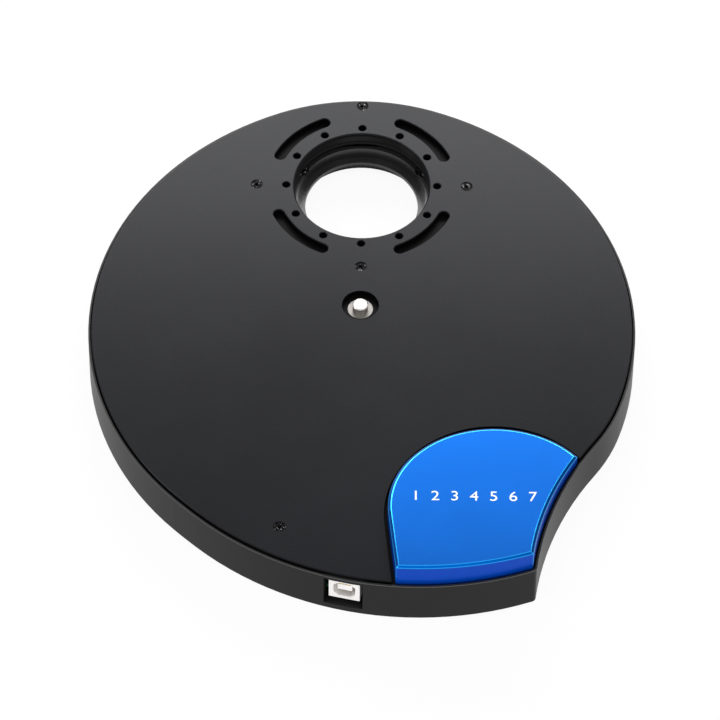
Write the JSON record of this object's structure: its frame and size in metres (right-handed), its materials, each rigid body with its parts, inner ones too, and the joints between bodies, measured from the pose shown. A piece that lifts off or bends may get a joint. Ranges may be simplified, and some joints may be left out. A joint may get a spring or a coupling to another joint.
{
  "type": "optical filter wheel",
  "caption": "Flat motorised filter wheel: round light bore with bolt circle, hub pin, lift-off raised access cover and a USB-B socket in the rim.",
  "frame": {"origin": "centre of the telescope-side bore at the flat telescope-side face", "axes": "+Z along the light path towards the camera, +Y from the hub to the bore, +X to the right seen from the camera side"},
  "size_m": [0.2131, 0.2417, 0.0302],
  "materials": {
    "black_anodised_body": "satin black anodised",
    "black_anodised_lid": "fine bead-blasted black anodised",
    "black_anodised_wheel": "matt black anodised",
    "blue_anodised_cover": "bead-blasted blue anodised with bright chamfers",
    "black_screw": "black oxide",
    "polished_steel": "turned and polished",
    "bearing_steel": "ground",
    "zinc_plate": "zinc plated",
    "zinc_screw": "zinc plated",
    "motor_case": "drawn can",
    "socket_plastic": "white moulded",
    "gold_contact": "gold flashed",
    "circuit_board": "green solder mask",
    "chip_plastic": "moulded",
    "capacitor_can": "bright can",
    "nickel_magnet": "nickel plated",
    "brass_gear": "hobbed"
  },
  "bodies": {
    "housing": {"housing_tray": "black_anodised_body", "lid_plate": "black_anodised_lid", "ring_screws": "black_screw", "lid_screws": "black_screw", "base_screws": "black_screw", "foot_screws": "black_screw", "baffle_ring": "black_anodised_body", "hub_axle": "polished_steel", "hub_bush": "polished_steel", "bearing_inner": "bearing_steel", "hub_clip": "bearing_steel", "motor_bracket": "zinc_plate", "stepper_motor": "motor_case", "motor_screws": "zinc_screw", "usb_shell": "socket_plastic", "usb_tongue": "socket_plastic", "usb_contacts": "gold_contact", "main_board": "circuit_board", "board_screws": "zinc_screw", "board_chips": "chip_plastic", "board_capacitor": "capacitor_can", "motor_header": "socket_plastic", "sensor_board": "circuit_board", "hall_sensor": "chip_plastic", "lid_magnets": "nickel_magnet"},
    "carousel": {"filter_carousel": "black_anodised_wheel", "bearing_outer": "bearing_steel", "retaining_screws": "black_screw", "index_magnets": "nickel_magnet"},
    "pinion": {"drive_pinion": "brass_gear", "motor_shaft": "bearing_steel"},
    "cover": {"access_cover": "blue_anodised_cover", "cover_magnets": "nickel_magnet"}
  },
  "joints": [
    {"name": "carousel_turn", "type": "hinge", "parent": "housing", "child": "carousel", "pos_m": [0, -0.0613, 0], "axis": [0, 0, 1], "continuous": true},
    {"name": "pinion_spin", "type": "hinge", "parent": "housing", "child": "pinion", "pos_m": [0.04589, -0.15295, 0], "axis": [0, 0, 1], "continuous": true},
    {"name": "cover_lift", "type": "slide", "parent": "housing", "child": "cover", "axis": [0, 0, 1], "range_m": [0, 0.04]}
  ],
  "couplings": [
    {"joint": "pinion_spin", "follows": "carousel_turn", "ratio": -9.25}
  ]
}
